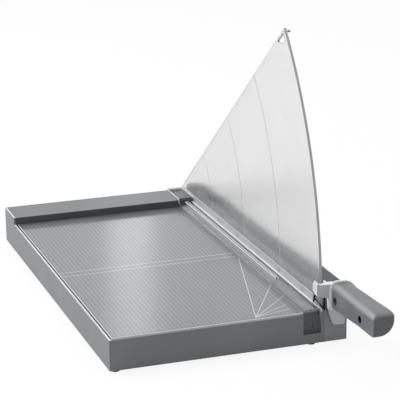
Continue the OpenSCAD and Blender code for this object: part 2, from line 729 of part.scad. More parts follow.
// Lower edge at a given y: a shallow parabola below the bed
blade_l = blade_y1 - blade_y0;
function edge_z(y) = base_h - blade_dip - blade_bulge * (1 - pow(2 * (y - blade_y0) / blade_l - 1, 2));
module blade_outline(lift) {
    edge = [for (i = [0 : 16]) let (y = blade_y0 + i * blade_l / 16) [y, edge_z(y) + lift]];
    polygon(concat(edge, [[blade_y1, blade_top], [blade_y0, blade_top]]));
}
module blade() {
    color("#c3c6c8") in_frame() difference() {
        hull() {
            side_plate(blade_x, blade_x + 0.1) blade_outline(0);
            side_plate(blade_x + 1, arm_x) blade_outline(bevel_h);
        }
        for (y = blade_screw_ys) {
            bar_x(blade_x - eps, arm_x + eps, y, blade_screw_z, blade_screw_d + 2 * fit);
            translate([blade_x - 0.01, y, blade_screw_z]) rotate([0, 90, 0])
                cylinder(d1 = 9.4, d2 = blade_screw_d, h = 2.2);
        }
    }
}
module blade_screws() {
    color("#8e9295") in_frame() for (y = blade_screw_ys)
        translate([blade_x + 0.15, y, blade_screw_z]) rotate([0, 90, 0]) {
            cylinder(d1 = 9, d2 = blade_screw_d - 0.1, h = 2);
            cylinder(d = blade_screw_d, h = 8);
        }
}

// Shoe at the arm's front end: block with a fin, collar round the grip's root, tongue plate
shoe_front = -11;
shoe_back = -2.2;
shoe_x = arm_x - 17.5;
shoe_z = arm_under + 20.5;
shoe_top = arm_top + 5.2;
shoe_rim = 6.1;
// Fin on the left, highest near its back end
fin_t = 2.2;
fin_h = 4.1;
fin_y = [shoe_front, -2.9, 1.2];
fin_dip = 1.4;
scoop_r = 4.2;
scoop_x = shoe_x + fin_t / 2 + scoop_r;
// Right wall, whose horn reaches back as far as the guard's edge
horn_x = guard_x + 2.2;
horn_t = 1.8;
horn_back = 4;
collar_front = grip_back - 2.2;
tongue_t = 5;
tongue_z = base_h - 14.6;
shoe_screw_d = 4;
shoe_screw_l = 11;
shoe_screw_head = [7, 2.2];
shoe_screw_places = [for (h = [12, 24]) [arm_x + 6.4, arm_under + h]];
// Front view of the block: low on the right, fin with a round root on the left
module shoe_block_outline() {
    difference() {
        polygon([[shoe_x, shoe_z + 3], [shoe_x, shoe_top + fin_h], [scoop_x, shoe_top + fin_h],
            [scoop_x, shoe_top], [arm_x + 4, shoe_top], [arm_x + 4, shoe_z - 2],
            [arm_x - 5, shoe_z - 1], [shoe_x + 5, shoe_z + 0.5]]);
        translate([scoop_x, shoe_top + scoop_r]) circle(scoop_r);
    }
}
// Side view that the fin is cut to: up to its peak, then down to its back
module fin_outline(bottom) {
    polygon([[fin_y[0], bottom], [fin_y[0], shoe_top + 1], [fin_y[1], shoe_top + fin_h],
        [fin_y[2], shoe_top - fin_dip], [fin_y[2], bottom + 2.5], [fin_y[1] - 3, bottom]]);
}
// The grip's own section at its root, a little larger all round
module collar_outline() {
    polygon(grip_section(grip_top, grip_root_r, grip_root_belly, collar_t));
}
module tongue_outline() {
    polygon([[arm_x - 1.8, shoe_z - 2], [arm_x - 1, base_h + 6.2], [arm_x + 2.6, tongue_z + 8],
        [arm_x + 3.7, tongue_z + 3.6], [arm_x + 6.5, tongue_z + 0.9], [arm_x + 18.3, tongue_z],
        [arm_x + 21, shoe_z]]);
}
module guard_shoe() {
    color("#c9cccd") in_frame() difference() {
        union() {
            intersection() {
                front_plate(shoe_front, shoe_front + shoe_rim) shoe_block_outline();
                side_plate(shoe_x - eps, arm_x + 5) fin_outline(shoe_z - 5);
            }
            // Left wall with the fin, and right wall with its horn
            side_plate(shoe_x, shoe_x + fin_t / 2) fin_outline(shoe_z + 3);
            block([horn_x, shoe_front + shoe_rim - eps, shoe_z], [arm_x + 4, shoe_back, shoe_top]);
            block([horn_x, shoe_back - eps, shoe_z + 4], [horn_x + horn_t, horn_back, shoe_top]);
            front_plate(collar_front, shoe_back) collar_outline();
            front_plate(shoe_back - tongue_t, shoe_back) tongue_outline();
        }
        // Kept clear of the guard's edge
        bar_x(shoe_x - eps, arm_x - 0.2, pivot_y, pivot_z, 2 * (guard_r + 1.2), $fn = 360);
        // Socket of the grip's root, and the tang's way through
        grip_body(gap);
        block([tang_x - gap, -20, tang_z - gap], [tang_x + tang_t + gap, 5, tang_z + tang_h + gap]);
        for (p = shoe_screw_places) {
            bar_y(-30, 5, p[0], p[1], shoe_screw_d + 2 * fit);
            bar_y(-30, shoe_back - 2.4, p[0], p[1], shoe_screw_head[0] + 0.4);
        }
        bar_z(finger_x, finger_y, shoe_z - 4, shoe_z + 6, finger_d + 2 * fit);
    }
}
module bar_z(x, y, z0, z1, d) {
    translate([x, y, z0]) cylinder(d = d, h = z1 - z0);
}
module shoe_screws() {
    color("#3c3f42") in_frame() for (p = shoe_screw_places) {
        bar_y(shoe_back - 2.4, shoe_back + shoe_screw_l, p[0], p[1], shoe_screw_d);
        bar_y(shoe_back - 2.4 - shoe_screw_head[1], shoe_back - 2.4, p[0], p[1], shoe_screw_head[0]);
    }
}

// Wire finger with a T head on the left of the guard's edge: its leg hangs from the shoe,
// then it runs back and a little up
finger_d = 1.6;
finger_x = guard_x - 0.5 - finger_d / 2;
finger_y = shoe_front + 1.8;
finger_z = base_h + 6.8;
finger_l = 29.7;
finger_rise = 3.8;
finger_head_d = 2;
finger_head_l = 8.6;
finger_head_lean = 25;
module guard_finger() {
    color("#26282a") in_frame() union() {
        bar_z(finger_x, finger_y, finger_z, shoe_z + 5, finger_d);
        translate([finger_x, finger_y, finger_z]) {
            sphere(d = finger_d);
            rotate([atan2(finger_rise, finger_l) - 90, 0, 0])
                cylinder(d = finger_d, h = sqrt(finger_l * finger_l + finger_rise * finger_rise));
            translate([0, finger_l, finger_rise]) rotate([finger_head_lean, 0, 0])
                cylinder(d = finger_head_d, h = finger_head_l, center = true);
        }
    }
}

// Tang, grip and their screws
tang_screw_d = 4;
tang_screw_ys = [tang_end - 26, tang_end - 8];
module handle_tang() {
    color("#8f9396") in_frame() difference() {
        block([tang_x + 0.1, grip_front + 16, tang_z + 0.1],
            [tang_x + tang_t - 0.1, tang_end, tang_z + tang_h - 0.1]);
        for (y = tang_screw_ys)
            bar_x(tang_x - eps, tang_x + tang_t + eps, y, tang_z + tang_h / 2, tang_screw_d + 2 * fit);
        for (y = grip_screw_y)
            bar_x(tang_x - eps, tang_x + tang_t + eps, y, grip_screw_z, grip_screw_d + 2 * fit);
    }
}
module tang_screws() {
    color("#3c3f42") in_frame() for (y = tang_screw_ys)
        translate([arm_x + arm_w + 1.8, y, tang_z + tang_h / 2])
            mirror([1, 0, 0]) screw_right(tang_screw_d, 7, 1.8, arm_w - 7.5);
}
grip_screw_d = 4;
grip_screw_z = tang_z + tang_h / 2;
// Rounds of the grip's section: small on the left, an upper right one that grows towards the root,
// and a lower right one that grows towards the end
grip_heel_r = 2.5;
grip_brow_r = 6.5;
grip_root_r = 0.51 * grip_h;
grip_root_belly = 0.48 * grip_h;
grip_end_r = 3.5;
grip_end_belly = 0.67 * grip_h;
corner_steps = 8;
function corner(x, z, r, from) = [for (i = [0 : corner_steps])
    [x + r * cos(from + 90 * i / corner_steps), z + r * sin(from + 90 * i / corner_steps)]];
function grip_section(top, right_r, belly_r, grow) = concat(
    corner(grip_x + grip_heel_r, grip_under + grip_heel_r, grip_heel_r + grow, 180),
    corner(grip_x + grip_w - belly_r, grip_under + belly_r, belly_r + grow, 270),
    corner(grip_x + grip_w - right_r, top - right_r, right_r + grow, 0),
    corner(grip_x + grip_brow_r, top - grip_brow_r, grip_brow_r + grow, 90));
function grip_ring(y, top, right_r, belly_r, grow) =
    [for (q = grip_section(top, right_r, belly_r, grow)) [q[0], y, q[1]]];
// Sections near the end, as distance from it, drop of the top and inset all round
grip_end = [[14, 0.4, 0], [5, 0.8, 0], [1.6, 1.6, 0.5], [0.4, 2.4, 1.4], [0, 2.8, 1.9]];
module grip_body(grow) {
    rings = concat([grip_ring(grip_back + grow, grip_top, grip_root_r, grip_root_belly, grow)],
        [for (e = grip_end)
            grip_ring(grip_front + e[0], grip_top - e[1], grip_end_r, grip_end_belly, grow - e[2])]);
    n = len(rings[0]);
    last = len(rings) - 1;
    polyhedron([for (ring = rings) each ring],
        concat([[for (j = [0 : n - 1]) j]], [[for (j = [n - 1 : -1 : 0]) last * n + j]],
            [for (i = [0 : last - 1], j = [0 : n - 1]) let (a = i * n + j, b = i * n + (j + 1) % n)
                each [[a, a + n, b + n], [a, b + n, b]]]));
}
module handle_grip() {
    color("#6a6e71") in_frame() difference() {
        grip_body(0);
        block([tang_x, grip_front + 14, tang_z], [tang_x + tang_t, grip_back + eps, tang_z + tang_h]);
        for (y = grip_screw_y) {
            bar_x(grip_x - eps, tang_x + tang_t + 6, y, grip_screw_z, grip_screw_d + 2 * fit);
            bar_x(grip_x - eps, grip_x + 3, y, grip_screw_z, 9);
        }
    }
}
module grip_screws() {
    color("#151617") in_frame() for (y = grip_screw_y) difference() {
        translate([grip_x + 0.8, y, grip_screw_z])
            screw_right(grip_screw_d, 8.4, 2.2, tang_x + tang_t + 2 - grip_x);
        bar_x(grip_x, grip_x + 2, y, grip_screw_z, 3.6, $fn = 6);
    }
}

// Clamp strip: clear bar with a rib, a step up on to the rail, a knuckle and tail, and the front hook
rib_x = clamp_x + clamp_w * 0.45;
clamp_rib_w = 3.5;
clamp_rib_y = 110;
clamp_front = 0.6;
tail_t = 3;
tail_z = hinge_z - 13;
knuckle_x0 = clamp_x + 1.6;
knuckle_x1 = bracket_x - 0.8 > clamp_right ? clamp_right - 2 : bracket_x - 0.8;
module clamp_profile() {
    // Side view of the strip: bar over the bed, step at the rail, plate on the rail
    step_y = rail_y - gap;
    end_y = base_d - 1;
    polygon([[clamp_front, clamp_z], [step_y - 2, clamp_z], [step_y, clamp_z + 2], [step_y, clamp_rail_z],
        [end_y, clamp_rail_z], [end_y, clamp_rail_z + clamp_t], [step_y - 2, clamp_rail_z + clamp_t],
        [step_y - 2, clamp_z + 3], [step_y - 3, clamp_z + clamp_t], [clamp_front, clamp_z + clamp_t]]);
}
module clamp_bar() {
    color([0.9, 0.92, 0.94, 0.4]) in_frame() difference() {
        union() {
            side_plate(clamp_x, clamp_right) clamp_profile();
            // Stiffening rib
            block([rib_x, clamp_rib_y, clamp_z + clamp_t - eps],
                [rib_x + clamp_rib_w, rail_y - 3, clamp_z + clamp_t + 2]);
            // Lip along the back
            block([clamp_x, base_d - 2.4, clamp_rail_z],
                [clamp_right, base_d - 1, clamp_rail_z + clamp_t + 0.6]);
            // Knuckle, its neck and the tail that the spring pushes
            bar_x(knuckle_x0, knuckle_x1, hinge_y, hinge_z, 2 * knuckle_r);
            block([knuckle_x0, hinge_y - tail_t / 2, tail_z],
                [knuckle_x1, hinge_y + tail_t / 2, clamp_rail_z + eps]);
            // Front hook with its side cheeks and catch
            block([clamp_x, clamp_front, hook_z], [clamp_right, clamp_front + hook_t, clamp_z + clamp_t]);
            front_plate(clamp_front + hook_t - eps, pocket_d - 0.7)
                polygon([[clamp_x + 11, hook_z], [clamp_right, hook_z], [clamp_x + 14, catch_top]]);
        }
        bar_x(knuckle_x0 - eps, knuckle_x1 + eps, hinge_y, hinge_z, hinge_pin_d + 2 * fit);
    }
}
module clamp_hinge_pin() {
    color("#aeb2b5") in_frame() bar_x(lug_x + 0.2, rail_right - 0.6, hinge_y, hinge_z, hinge_pin_d);
}
// Coil spring between the tail and the tray's back wall
spring_wire = 0.7;
spring_r = 2.1;
spring_turns = 4;
spring_y0 = hinge_y + tail_t / 2 + gap + spring_wire / 2;
spring_y1 = back_y - spring_wire / 2 - 0.05;
spring_steps = 14;
spring_x = (knuckle_x0 + knuckle_x1) / 2;
spring_z = tail_z + spring_r + spring_wire;
spring_pitch = (spring_y1 - spring_y0) / (spring_turns * spring_steps);
function coil_point(k) = let (a = 360 * k / spring_steps)
    [spring_x + spring_r * cos(a), spring_y0 + spring_pitch * k, spring_z + spring_r * sin(a)];
function coil_ring(k) = let (a = 360 * k / spring_steps, c = coil_point(k))
    [for (j = [0 : 5]) let (b = 60 * j)
        c + spring_wire / 2 * [cos(b) * cos(a), sin(b), cos(b) * sin(a)]];
module clamp_spring() {
    n = spring_turns * spring_steps;
    color("#aeb2b5") in_frame() polyhedron(
        points = [for (k = [0 : n]) each coil_ring(k)],
        faces = concat([[for (j = [0 : 5]) j]], [[for (j = [5 : -1 : 0]) n * 6 + j]],
            [for (k = [0 : n - 1], j = [0 : 5]) let (a = k * 6 + j, b = k * 6 + (j + 1) % 6)
                each [[a, a + 6, b + 6], [a, b + 6, b]]]));
}

base_tray();
side_channel();
rear_rail();
bed_plate();
edge_strip();
lower_knife();
knife_screws();
cross_members();
bottom_cover();
bottom_screws();
rubber_feet();
foot_screws();
channel_screws();
rail_screws();
pivot_bracket();
bracket_screws();
pivot_bolt();
pivot_nut();
disc_springs();
thrust_washer();
guard_sail();
guard_foot();
guard_rivets();
apex_stop();
arm_bumper();
arm_beam();
pivot_bush();
blade();
blade_screws();
guard_shoe();
shoe_screws();
guard_finger();
handle_tang();
tang_screws();
handle_grip();
grip_screws();
clamp_bar();
clamp_hinge_pin();
clamp_spring();
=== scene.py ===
"""Looks of the office arm cutter: printed bed, clear guard and strip, painted base and arm, moulded grip."""

import json
import math

import bmesh
import bpy
from mathutils import Matrix, Vector


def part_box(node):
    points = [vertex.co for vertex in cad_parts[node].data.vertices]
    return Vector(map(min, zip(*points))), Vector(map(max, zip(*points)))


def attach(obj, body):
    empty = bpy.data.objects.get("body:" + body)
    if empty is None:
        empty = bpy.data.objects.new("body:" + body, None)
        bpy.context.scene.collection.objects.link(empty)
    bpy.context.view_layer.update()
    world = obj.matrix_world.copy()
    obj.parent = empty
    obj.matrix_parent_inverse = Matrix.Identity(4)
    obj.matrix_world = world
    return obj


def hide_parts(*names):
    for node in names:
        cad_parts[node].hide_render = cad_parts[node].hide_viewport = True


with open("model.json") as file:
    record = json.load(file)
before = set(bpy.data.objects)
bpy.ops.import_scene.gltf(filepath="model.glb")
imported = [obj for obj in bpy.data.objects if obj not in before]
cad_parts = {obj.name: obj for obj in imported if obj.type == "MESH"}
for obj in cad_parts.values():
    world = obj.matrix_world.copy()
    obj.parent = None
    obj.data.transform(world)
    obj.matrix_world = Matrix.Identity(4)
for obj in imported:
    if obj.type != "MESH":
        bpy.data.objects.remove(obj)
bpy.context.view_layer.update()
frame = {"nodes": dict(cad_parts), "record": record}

MM = 0.001

# The base's front left corner at its underside. Every place in mm is counted from it
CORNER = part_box("base_tray")[0]

# Camera, from the photograph: its place from the corner in metres, and its turn in degrees, where azimuth 0
# looks along +Y
CAMERA_FROM_CORNER = Vector((-0.4808, -1.7119, 0.7305))
CAMERA_AZIMUTH = -18.936
CAMERA_ELEVATION = 16.769
CAMERA_ROLL = -0.592
LENS_MM = 156.79
SENSOR_MM = 36.0


def to_mm(point):
    """A point's place in mm from the corner"""
    return (point - CORNER) / MM


def linear(code):
    """The linear colour of an sRGB hex value"""
    parts = [int(code[i:i + 2], 16) / 255 for i in (1, 3, 5)]
    return [p / 12.92 if p <= 0.04045 else ((p + 0.055) / 1.055) ** 2.4 for p in parts] + [1.0]


def add_node(tree, kind, inputs=None, **settings):
    """One node with its settings and its inputs, where an input is a value or another node's output"""
    made = tree.nodes.new(kind)
    for name, value in settings.items():
        setattr(made, name, value)
    for name, value in (inputs or {}).items():
        if isinstance(value, bpy.types.NodeSocket):
            tree.links.new(value, made.inputs[name])
        else:
            made.inputs[name].default_value = value
    return made


def start_material(name):
    """An empty node material, its nodes, and the object's own coordinates in millimetres"""
    made = bpy.data.materials.new(name)
    made.use_nodes = True
    tree = made.node_tree
    tree.nodes.clear()
    place = add_node(tree, "ShaderNodeTexCoord")
    in_mm = add_node(tree, "ShaderNodeVectorMath",
                     {0: place.outputs["Object"], "Scale": 1 / MM}, operation="SCALE")
    return made, tree, in_mm.outputs["Vector"]


def end_material(tree, surface):
    """The surface goes to the material's output"""
    out = add_node(tree, "ShaderNodeOutputMaterial")
    tree.links.new(surface, out.inputs["Surface"])


def highest(tree, first, second):
    """The larger of two values"""
    return add_node(tree, "ShaderNodeMath", {0: first, 1: second}, operation="MAXIMUM").outputs[0]


def product(tree, first, second):
    """Two values multiplied"""
    return add_node(tree, "ShaderNodeMath", {0: first, 1: second}, operation="MULTIPLY").outputs[0]


def laid_over(tree, mask, under, over):
    """A colour over another where the mask is 1"""
    mix = add_node(tree, "ShaderNodeMix", {"Factor": mask}, data_type="RGBA")
    tree.links.new(under, mix.inputs["A"])
    mix.inputs["B"].default_value = linear(over)
    return mix.outputs["Result"]


def cloudy(tree, mm, size, stretch=(1, 1, 1)):
    """Noise whose spots are about size millimetres apart"""
    scaled = add_node(tree, "ShaderNodeMapping", {"Vector": mm, "Scale": [s / size for s in stretch]})
    noise = add_node(tree, "ShaderNodeTexNoise",
                     {"Vector": scaled.outputs["Vector"], "Scale": 1.0, "Detail": 2.0})
    return noise.outputs["Fac"]


def grain(tree, mm, size, strength, stretch=(1, 1, 1), depth=0.05):
    """A bump from noise whose bumps are about size millimetres apart and depth deep, and the noise itself"""
    noise = cloudy(tree, mm, size, stretch)
    bump = add_node(tree, "ShaderNodeBump", {"Height": noise, "Strength": strength, "Distance": depth * MM})
    return bump.outputs["Normal"], noise


def shade_between(tree, factor, dark, pale):
    """A colour that runs from dark to pale over the middle of the noise's range"""
    ramp = add_node(tree, "ShaderNodeValToRGB", {"Fac": factor})
    ramp.color_ramp.elements[0].position = 0.35
    ramp.color_ramp.elements[0].color = linear(dark)
    ramp.color_ramp.elements[1].position = 0.65
    ramp.color_ramp.elements[1].color = linear(pale)
    return ramp.outputs["Color"]


def rough_between(tree, factor, low, high):
    """A roughness that runs from low to high with the noise"""
    spread = add_node(tree, "ShaderNodeMapRange", {"Value": factor, "To Min": low, "To Max": high})
    return spread.outputs["Result"]


def powder_coat(name, dark, pale, roughness=0.42, gloss=0.5):
    """Powder-coated sheet steel: satin, with a fine orange peel that breaks the highlights up"""
    made, tree, mm = start_material(name)
    # The real peel is about 0.5 mm; it is drawn at 1.6 mm so that it shows
    normal, noise = grain(tree, mm, 1.6, 0.25)
    skin = add_node(tree, "ShaderNodeBsdfPrincipled", {
        "Base Color": shade_between(tree, cloudy(tree, mm, 60.0), dark, pale),
        "Roughness": rough_between(tree, noise, roughness - 0.05, roughness + 0.08),
        "Specular IOR Level": gloss, "Coat Weight": 0.15, "Coat Roughness": 0.2, "Normal": normal})
    end_material(tree, skin.outputs["BSDF"])
    return made


def turned_metal(name, dark, pale, roughness, along=(1, 1, 1)):
    """Ground, plated, blackened or sintered metal: metallic, with fine marks along the grinding direction"""
    made, tree, mm = start_material(name)
    # The real marks are about 0.1 mm apart; they are drawn at 0.8 mm so that they show
    normal, noise = grain(tree, mm, 0.8, 0.2, stretch=along, depth=0.02)
    skin = add_node(tree, "ShaderNodeBsdfPrincipled", {
        "Base Color": shade_between(tree, noise, dark, pale), "Metallic": 1.0,
        "Roughness": rough_between(tree, noise, roughness - 0.06, roughness + 0.1), "Normal": normal})
    end_material(tree, skin.outputs["BSDF"])
    return made


ABS_IOR = 1.53


def plastic_skin(tree, mm, colour, roughness, strength=0.3, gloss=0.5):
    """The skin that a spark-eroded mould leaves: a fine grain that keeps the gloss down"""
    normal, noise = grain(tree, mm, 0.9, strength, depth=0.04)
    skin = add_node(tree, "ShaderNodeBsdfPrincipled", {
        "Base Color": colour,
        "Roughness": rough_between(tree, noise, roughness - 0.05, roughness + 0.07),
        "IOR": ABS_IOR, "Specular IOR Level": gloss, "Normal": normal})
    end_material(tree, skin.outputs["BSDF"])


def moulded_plastic(name, dark, pale, roughness, strength=0.3, gloss=0.5):
    """Moulded ABS or rubber in an even colour"""
    made, tree, mm = start_material(name)
    colour = shade_between(tree, cloudy(tree, mm, 30.0), dark, pale)
    plastic_skin(tree, mm, colour, roughness, strength, gloss)
    return made


# The directions in which the grip's upper left round takes a painted highlight and its end face a painted
# shade
HIGHLIGHT_SIDE = (-0.72, 0.0, 0.69)
END_SIDE = (0.0, -1.0, 0.0)


def toward(tree, direction, start):
    """1 where a surface faces a direction, falling to 0 where the cosine between them is start"""
    facing = add_node(tree, "ShaderNodeTexCoord").outputs["Normal"]
    cosine = add_node(tree, "ShaderNodeVectorMath", {0: facing, 1: direction}, operation="DOT_PRODUCT")
    share = add_node(tree, "ShaderNodeMapRange",
                     {"Value": cosine.outputs["Value"], "From Min": start, "From Max": 1.0})
    return share.outputs["Result"]


def plastic_with_painted_light(name, dark, pale, highlight_colour, end, roughness):
    """Moulded ABS with a painted highlight along its upper left round and painted shade on its end"""
    made, tree, mm = start_material(name)
    colour = shade_between(tree, cloudy(tree, mm, 30.0), dark, pale)
    # Painted highlight where the surface faces up and to the left
    colour = laid_over(tree, toward(tree, HIGHLIGHT_SIDE, 0.72), colour, highlight_colour)
    # Painted shade on the end face
    colour = laid_over(tree, toward(tree, END_SIDE, 0.8), colour, end)
    plastic_skin(tree, mm, colour, roughness)
    return made


def clear_plastic(name, tint, roughness, ior, haze=0.0, gloss=0.5):
    """Clear sheet: cast or moulded, with a faint waviness, and a haze where its skin is matt"""
    made, tree, mm = start_material(name)
    normal, noise = grain(tree, mm, 25.0, 0.08, depth=0.2)
    clear = add_node(tree, "ShaderNodeBsdfPrincipled", {
        "Base Color": linear(tint), "Transmission Weight": 1.0 - haze,
        "Roughness": rough_between(tree, noise, roughness * 0.9, roughness * 1.1),
        "IOR": ior, "Specular IOR Level": gloss, "Normal": normal})
    end_material(tree, clear.outputs["BSDF"])
    return made


# The bed's print, in mm: the field of its grid, two ruler lines across it, the border at its left and front,
# and a fan of angle lines with their reach by their angle in degrees
GRID_PITCH = 5.0
GRID_LEFT, GRID_RIGHT = 7.0, 231.5
GRID_FRONT, GRID_BACK = 11.0, 437.0
RULER_YS = (222.8, 235.9)
BORDER = (((5.3, 7.0), (5.3, 449.0)), ((4.8, 7.5), (232.0, 7.5)))
FAN_FOOT = (175.7, 11.8)
FAN_REACH = {15: 49, 30: 56, 45: 78, 60: 112, 75: 213}
# The real grid lines are about 0.3 mm wide; they are drawn wider and softer so that they show
LENGTHWISE_MM, CROSSWISE_MM, LINE_SOFT_MM = 1.3, 1.0, 0.6
CROSSWISE_SHARE = 0.7
STROKE_MM = 0.9
# How much of the ink's colour covers the ground
GRID_INK, STROKE_INK = 0.42, 0.8


def line_mask(tree, coordinate, width):
    """1 on the grid's lines of a width along one coordinate in millimetres"""
    turn = add_node(tree, "ShaderNodeMath", {0: coordinate, 1: GRID_PITCH / 2}, operation="PINGPONG")
    mask = add_node(tree, "ShaderNodeMapRange", {
        "Value": turn.outputs[0], "From Min": width / 2 - LINE_SOFT_MM, "From Max": width / 2 + LINE_SOFT_MM,
        "To Min": 1.0, "To Max": 0.0})
    return mask.outputs["Result"]


def inside(tree, mm, middle, half, angle=0.0):
    """1 inside a turned rectangle on the bed, given by its middle and half its sides"""
    any_height = 1000.0
    turned = add_node(tree, "ShaderNodeMapping", {
        "Vector": mm, "Location": (*middle, 0), "Rotation": (0, 0, angle), "Scale": (*half, any_height)},
        vector_type="TEXTURE")
    size = add_node(tree, "ShaderNodeVectorMath", {0: turned.outputs["Vector"]}, operation="ABSOLUTE")
    parts = add_node(tree, "ShaderNodeSeparateXYZ", {"Vector": size.outputs["Vector"]})
    far = highest(tree, parts.outputs["X"], parts.outputs["Y"])
    return add_node(tree, "ShaderNodeMath", {0: far, 1: 1.0}, operation="LESS_THAN").outputs[0]


def stroke(tree, mm, start, end):
    """1 on a straight printed line between two points on the bed"""
    span = Vector(end) - Vector(start)
    middle = (Vector(start) + Vector(end)) / 2
    return inside(tree, mm, middle, (span.length / 2, STROKE_MM / 2), math.atan2(span.y, span.x))


def printed_grid(tree, mm):
    """Both ways of the 5 mm grid, within its field"""
    along = add_node(tree, "ShaderNodeSeparateXYZ", {"Vector": mm})
    lengthwise = line_mask(tree, along.outputs["X"], LENGTHWISE_MM)
    crosswise = product(tree, line_mask(tree, along.outputs["Y"], CROSSWISE_MM), CROSSWISE_SHARE)
    middle = ((GRID_LEFT + GRID_RIGHT) / 2, (GRID_FRONT + GRID_BACK) / 2)
    half = ((GRID_RIGHT - GRID_LEFT) / 2, (GRID_BACK - GRID_FRONT) / 2)
    return product(tree, highest(tree, lengthwise, crosswise), inside(tree, mm, middle, half))


def printed_lines(tree, mm):
    """Ruler lines across the bed, its border, and the fan of angle lines near the front right"""
    strokes = [((GRID_LEFT, y), (GRID_RIGHT, y)) for y in RULER_YS]
    strokes += BORDER
    for angle, reach in FAN_REACH.items():
        turn = math.radians(angle)
        tip = (FAN_FOOT[0] + reach * math.cos(turn), FAN_FOOT[1] + reach * math.sin(turn))
        strokes.append((FAN_FOOT, tip))
    made = None
    for start, end in strokes:
        mask = stroke(tree, mm, start, end)
        made = mask if made is None else highest(tree, made, mask)
    return made


def printed_bed(name):
    """Lacquered steel sheet with a fine printed grid, under a clear gloss coat"""
    made, tree, mm = start_material(name)
    from_corner = add_node(tree, "ShaderNodeVectorMath", {0: mm, 1: CORNER / MM}, operation="SUBTRACT")
    place = from_corner.outputs["Vector"]
    colour = shade_between(tree, cloudy(tree, mm, 90.0), "#64676a", "#6a6d70")
    colour = laid_over(tree, product(tree, printed_grid(tree, place), GRID_INK), colour, "#b0b3b5")
    colour = laid_over(tree, product(tree, printed_lines(tree, place), STROKE_INK), colour, "#e6e8e9")
    normal, noise = grain(tree, mm, 1.2, 0.1, depth=0.02)
    skin = add_node(tree, "ShaderNodeBsdfPrincipled", {
        "Base Color": colour, "Roughness": rough_between(tree, noise, 0.4, 0.5),
        "Coat Weight": 1.0, "Coat Roughness": 0.14, "Normal": normal})
    end_material(tree, skin.outputs["BSDF"])
    return made


# Axes of a cut: to the right, and to the back
X, Y = 0, 1
# Points nearer than this are one point
SAME_POINT = 0.002 * MM
# Angles in degrees: edges sharper than the first are rounded, and shading is smooth below the second
ROUNDED_FROM = 50
SMOOTH_BELOW = 40


def merged_copy(node):
    """A bmesh of a CAD node's shape, with its loose triangles merged and its flat faces whole"""
    bm = bmesh.new()
    bm.from_mesh(frame["nodes"][node].data)
    bmesh.ops.remove_doubles(bm, verts=bm.verts, dist=SAME_POINT)
    bmesh.ops.dissolve_limit(bm, angle_limit=math.radians(0.5), use_dissolve_boundaries=False,
                             verts=bm.verts, edges=bm.edges)
    return bm


def sharp_edges(bm, angle):
    """The edges at which two faces turn by more than an angle in degrees"""
    return [e for e in bm.edges if len(e.link_faces) == 2 and e.calc_face_angle(0.0) > math.radians(angle)]


def bevel(bm, edges, width, segments=2):
    """The edges become rounds of a width in metres"""
    bmesh.ops.bevel(bm, geom=edges, offset=width, offset_type="OFFSET", affect="EDGES",
                    segments=segments, profile=0.5, clamp_overlap=True, material=-1)


def cut_across(bm, axis, place, above, before):
    """A cut at a place along an axis, through the faces above a height and in front of a depth, all in mm"""
    at = CORNER.copy()
    at[axis] += place * MM
    across = Vector([float(i == axis) for i in range(3)])
    faces = [f for f in bm.faces if min(v.co.z for v in f.verts) > CORNER.z + above * MM
             and max(v.co.y for v in f.verts) < CORNER.y + before * MM]
    parts = {part for face in faces for part in (*face.edges, *face.verts)}
    bmesh.ops.bisect_plane(bm, geom=faces + list(parts), plane_co=at, plane_no=across)


def make_piece(name, bm, body, material):
    """A finished object at the origin from a bmesh, shaded smooth apart from its sharp edges"""
    for face in bm.faces:
        face.smooth = True
    for edge in bm.edges:
        edge.smooth = len(edge.link_faces) == 2 and edge.calc_face_angle(0.0) < math.radians(SMOOTH_BELOW)
    mesh = bpy.data.meshes.new(name)
    bm.to_mesh(mesh)
    bm.free()
    made = bpy.data.objects.new(name, mesh)
    bpy.context.scene.collection.objects.link(made)
    made.data.materials.append(material)
    # Large flat faces keep their own normals, and the rounds between them take up the turn
    weighted = made.modifiers.new("flat_faces", "WEIGHTED_NORMAL")
    weighted.mode = "FACE_AREA"
    weighted.keep_sharp = True
    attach(made, body)
    return made


def paint_faces(piece, material, chosen):
    """Faces that chosen(place in mm, normal) picks take one more material"""
    piece.data.materials.append(material)
    index = len(piece.data.materials) - 1
    for face in piece.data.polygons:
        if chosen(to_mm(face.center), face.normal):
            face.material_index = index


def body_of_node(node):
    """The body that a CAD node rides on"""
    for body, nodes in frame["record"]["behaviour"]["bodies"].items():
        if node in nodes:
            return body
    return "root"


def softened(node, material, width, segments=2, cuts=()):
    """The node's own shape, its sharp edges broken by a small round, as folding or moulding leaves them"""
    bm = merged_copy(node)
    # The faces beside a cut can be painted apart
    for cut in cuts:
        cut_across(bm, *cut)
    bevel(bm, sharp_edges(bm, ROUNDED_FROM), width * MM, segments)
    made = make_piece(node + "_finished", bm, body_of_node(node), material)
    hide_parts(node)
    return made


def dress(nodes, material):
    """The CAD nodes keep their shape and take the material"""
    for node in nodes:
        data = frame["nodes"][node].data
        data.materials.clear()
        data.materials.append(material)


# Satin grey paint, whose highlights are soft: base, paler channel, a painted highlight along the wall's lip,
# and the rail's dark front
BASE_COAT = powder_coat("powder_coat_base", "#777a7c", "#7d8082")
SIDE_COAT = powder_coat("powder_coat_side", "#8b8e90", "#919496")
LIP_PAINTED_HIGHLIGHT = powder_coat("powder_coat_painted_highlight", "#dfe2e4", "#e9ebec", roughness=0.3)
DARK_TRIM = powder_coat("dark_rail_trim", "#4f5254", "#56595b", roughness=0.5)
# Lacquer under a gloss coat, which mirrors the guard
BED_PRINT = printed_bed("printed_lacquer")
# Steel: bright with marks along the knife, grey where it is plated, and nearly black where it is blackened
GROUND_STEEL = turned_metal("ground_steel", "#a9acae", "#c6c9cb", 0.28, along=(1, 0.05, 1))
ZINC_STEEL = turned_metal("zinc_plated_steel", "#8c9194", "#a6abae", 0.35)
BLACK_STEEL = turned_metal("blackened_steel", "#060707", "#0d0e0f", 0.3)
# Matt rubber with hardly a highlight
RUBBER = moulded_plastic("black_rubber", "#070708", "#0b0b0c", 0.85, strength=0.5, gloss=0.05)
